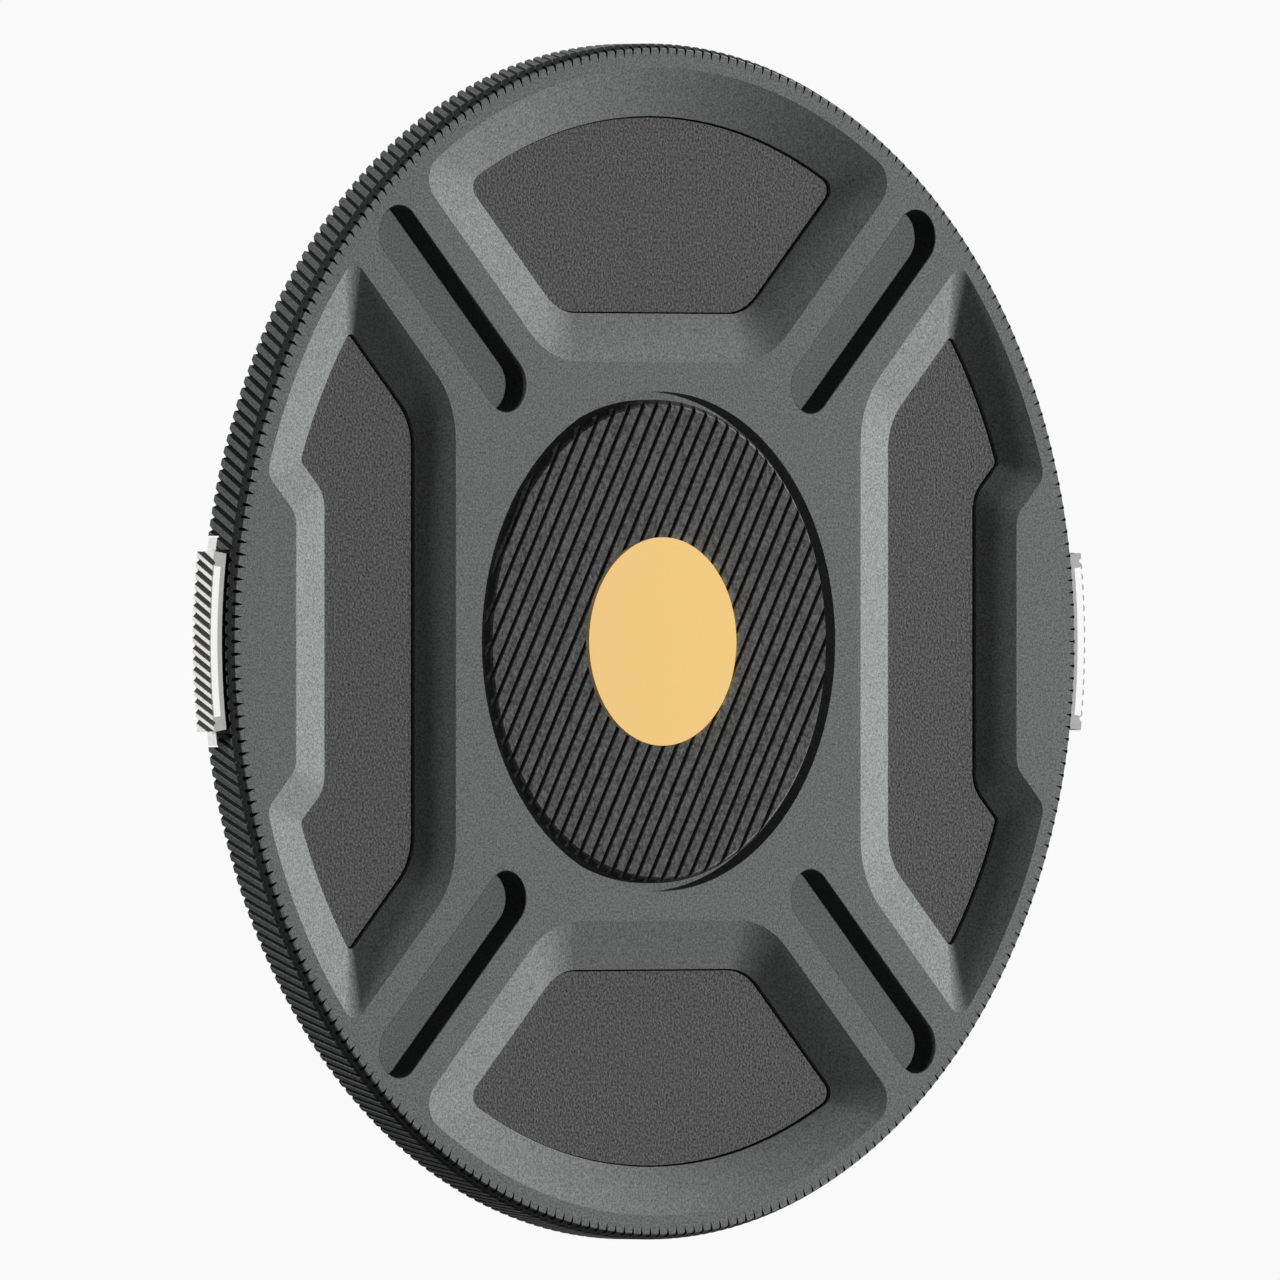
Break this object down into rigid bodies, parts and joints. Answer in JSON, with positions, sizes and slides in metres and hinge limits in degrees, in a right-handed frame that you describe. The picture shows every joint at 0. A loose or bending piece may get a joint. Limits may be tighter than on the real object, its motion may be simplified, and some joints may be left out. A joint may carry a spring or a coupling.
{
  "type": "filter cap",
  "caption": "Slim round cap that closes the front thread of a photographic filter or lens, held by two sprung tabs pinched at its sides.",
  "frame": {"origin": "middle of the cap on the plane of its back, the end of the pilot ring", "axes": "+Z along the cap's axis towards its front face, +X through the right tab as the face is seen, +Y up on the face"},
  "size_m": [0.0892, 0.086, 0.0055],
  "materials": {
    "cover": "fine matt anodised, dark grey",
    "pad": "fine grained",
    "disc": "fine grained ribs",
    "badge": "fine matt gold",
    "back_plate": "matt black",
    "tab": "satin light grey",
    "stripe": "matt white",
    "spring_steel": "bright wire",
    "screw_steel": "dark nickel"
  },
  "bodies": {
    "cap": {"cover": "cover", "top_pad": "pad", "bottom_pad": "pad", "left_pad": "pad", "right_pad": "pad", "centre_disc": "disc", "badge": "badge", "back_plate": "back_plate", "left_upper_spring": "spring_steel", "left_lower_spring": "spring_steel", "right_upper_spring": "spring_steel", "right_lower_spring": "spring_steel", "inner_screw_1": "screw_steel", "inner_screw_2": "screw_steel", "inner_screw_3": "screw_steel", "inner_screw_4": "screw_steel", "outer_screw_1": "screw_steel", "outer_screw_2": "screw_steel", "outer_screw_3": "screw_steel", "outer_screw_4": "screw_steel"},
    "left_slider": {"left_tab": "tab", "left_stripe": "stripe"},
    "right_slider": {"right_tab": "tab", "right_stripe": "stripe"}
  },
  "joints": [
    {"name": "left_tab_slide", "type": "slide", "parent": "cap", "child": "left_slider", "axis": [1, 0, 0], "range_m": [0, 0.0014], "stiffness_N_per_m": 1000, "springref_m": -0.0015, "deforming": ["left_upper_spring", "left_lower_spring"]},
    {"name": "right_tab_slide", "type": "slide", "parent": "cap", "child": "right_slider", "axis": [-1, 0, 0], "range_m": [0, 0.0014], "stiffness_N_per_m": 1000, "springref_m": -0.0015, "deforming": ["right_upper_spring", "right_lower_spring"]}
  ]
}
